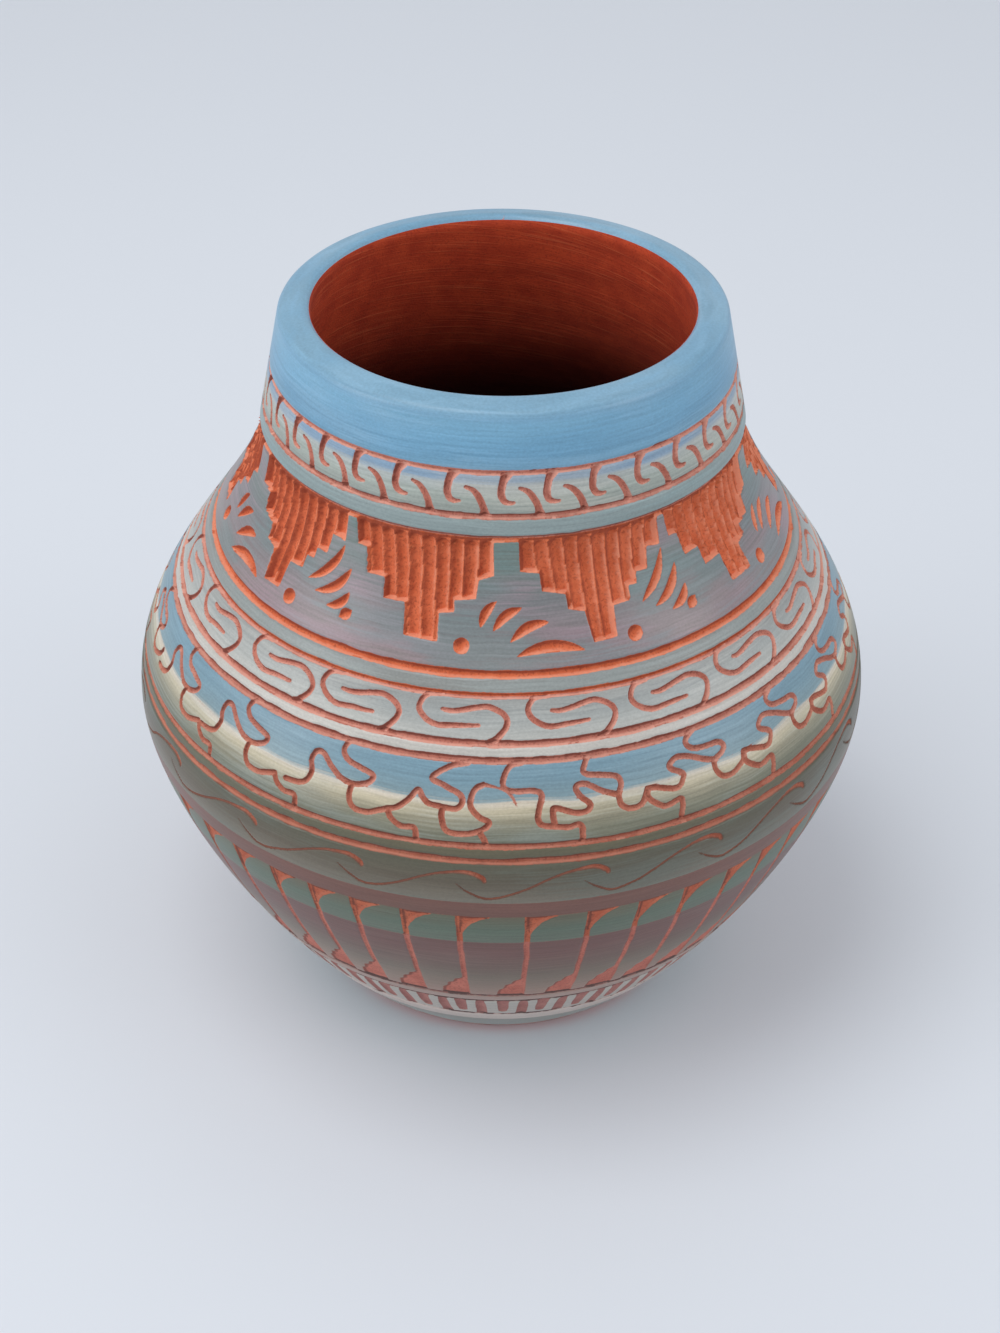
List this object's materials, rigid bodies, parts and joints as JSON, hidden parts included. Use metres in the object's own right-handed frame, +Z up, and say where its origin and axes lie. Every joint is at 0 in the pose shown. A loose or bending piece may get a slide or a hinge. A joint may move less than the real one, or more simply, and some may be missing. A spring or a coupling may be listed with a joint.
{
  "type": "pottery vase",
  "caption": "Round-bellied red-clay vase with a short neck, painted in matt bands and cut through to the clay with rings, frets and stepped pendants; holds flowers or stands as an ornament.",
  "frame": {"origin": "centre of the flat foot, on the surface that the vase stands on", "axes": "+Z up along the axis of the vase, -Y towards the viewer of the picture"},
  "size_m": [0.135, 0.135, 0.1381],
  "materials": {
    "red_clay": "bare fired red clay, matt and slightly gritty",
    "neck_blue": "matt painted coat with fine brush lines",
    "off_white": "matt painted coat with fine brush lines",
    "pale_teal": "matt painted coat with fine brush lines",
    "shoulder_grey": "matt painted coat, lavender grey to teal",
    "white": "matt painted coat",
    "sky_blue": "matt painted coat with fine brush lines",
    "cream": "matt painted coat fading to green",
    "sage": "matt painted coat",
    "mauve": "matt painted coat",
    "feather_green": "matt painted coat",
    "foot_grey": "matt painted coat"
  },
  "bodies": {
    "root": {"base": "red_clay", "lower_wall": "red_clay", "shoulder_wall": "red_clay", "neck_wall": "red_clay", "neck_coat": "neck_blue", "hook_coat": "off_white", "collar_line_coat": "pale_teal", "shoulder_coat": "shoulder_grey", "shoulder_line_coat": "pale_teal", "key_coat": "pale_teal", "white_line_coat": "white", "sky_coat": "sky_blue", "cream_coat": "cream", "sage_line_coat": "sage", "scroll_coat": "sage", "mauve_line_coat": "mauve", "crown_coat": "feather_green", "feather_coat": "mauve", "foot_line_coat": "off_white", "tick_coat": "off_white", "white_ring_coat": "white", "foot_coat": "foot_grey"}
  },
  "joints": []
}
